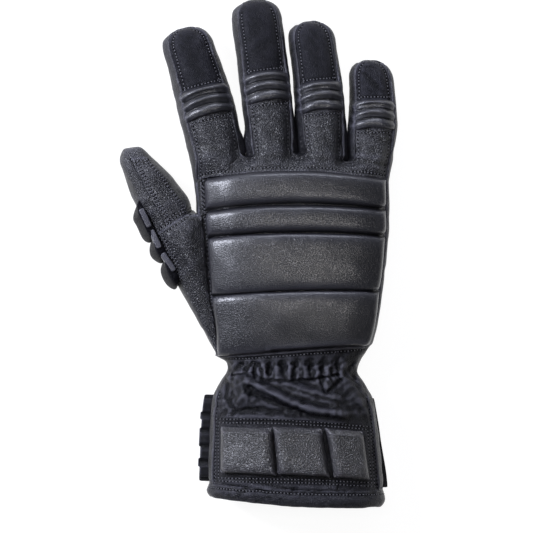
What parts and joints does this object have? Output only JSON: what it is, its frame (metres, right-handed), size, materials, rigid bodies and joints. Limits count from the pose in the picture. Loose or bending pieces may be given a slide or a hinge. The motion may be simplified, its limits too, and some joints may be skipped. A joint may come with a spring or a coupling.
{
  "type": "riot glove",
  "caption": "Padded leather glove for the right hand, with foam bars over the knuckles, ribbed finger joints, a gathered wrist and a padded gauntlet cuff with a closing strap.",
  "frame": {"origin": "the middle of the box that the glove fills, on the surface that it lies on", "axes": "+X from the thumb to the little finger, +Y from the cuff to the fingertips, +Z out of the back of the hand"},
  "size_m": [0.1598, 0.2912, 0.0486],
  "materials": {
    "shell_leather": "fine-grained black leather, satin",
    "pad_leather": "smooth black leather over foam, soft sheen",
    "palm_leather": "smooth black leather, satin",
    "binding_leather": "thin black leather binding, satin",
    "strap_fabric": "black woven strap, matt",
    "grip_rubber": "moulded black rubber, satin",
    "stitching": "waxed black thread"
  },
  "bodies": {
    "root": {"back_pad": "pad_leather", "closure_strap": "strap_fabric", "cuff_pad_1": "pad_leather", "cuff_pad_2": "pad_leather", "cuff_pad_3": "pad_leather", "fork_strip_1": "shell_leather", "fork_strip_2": "shell_leather", "fork_strip_3": "shell_leather", "gauntlet_back": "shell_leather", "gauntlet_palm": "palm_leather", "hem_binding": "binding_leather", "index_knuckle_ribs": "pad_leather", "index_tip_back": "pad_leather", "knuckle_panel": "shell_leather", "little_knuckle_ribs": "pad_leather", "little_tip_back": "pad_leather", "middle_knuckle_ribs": "pad_leather", "middle_tip_back": "pad_leather", "palm_panel": "palm_leather", "ring_knuckle_ribs": "pad_leather", "ring_tip_back": "pad_leather", "strap_grip": "grip_rubber", "thumb_back": "shell_leather", "thumb_gusset": "shell_leather", "thumb_pad_1": "pad_leather", "thumb_pad_2": "pad_leather", "thumb_pad_3": "pad_leather", "thumb_palm": "palm_leather", "wrist_gather": "shell_leather"}
  },
  "joints": []
}
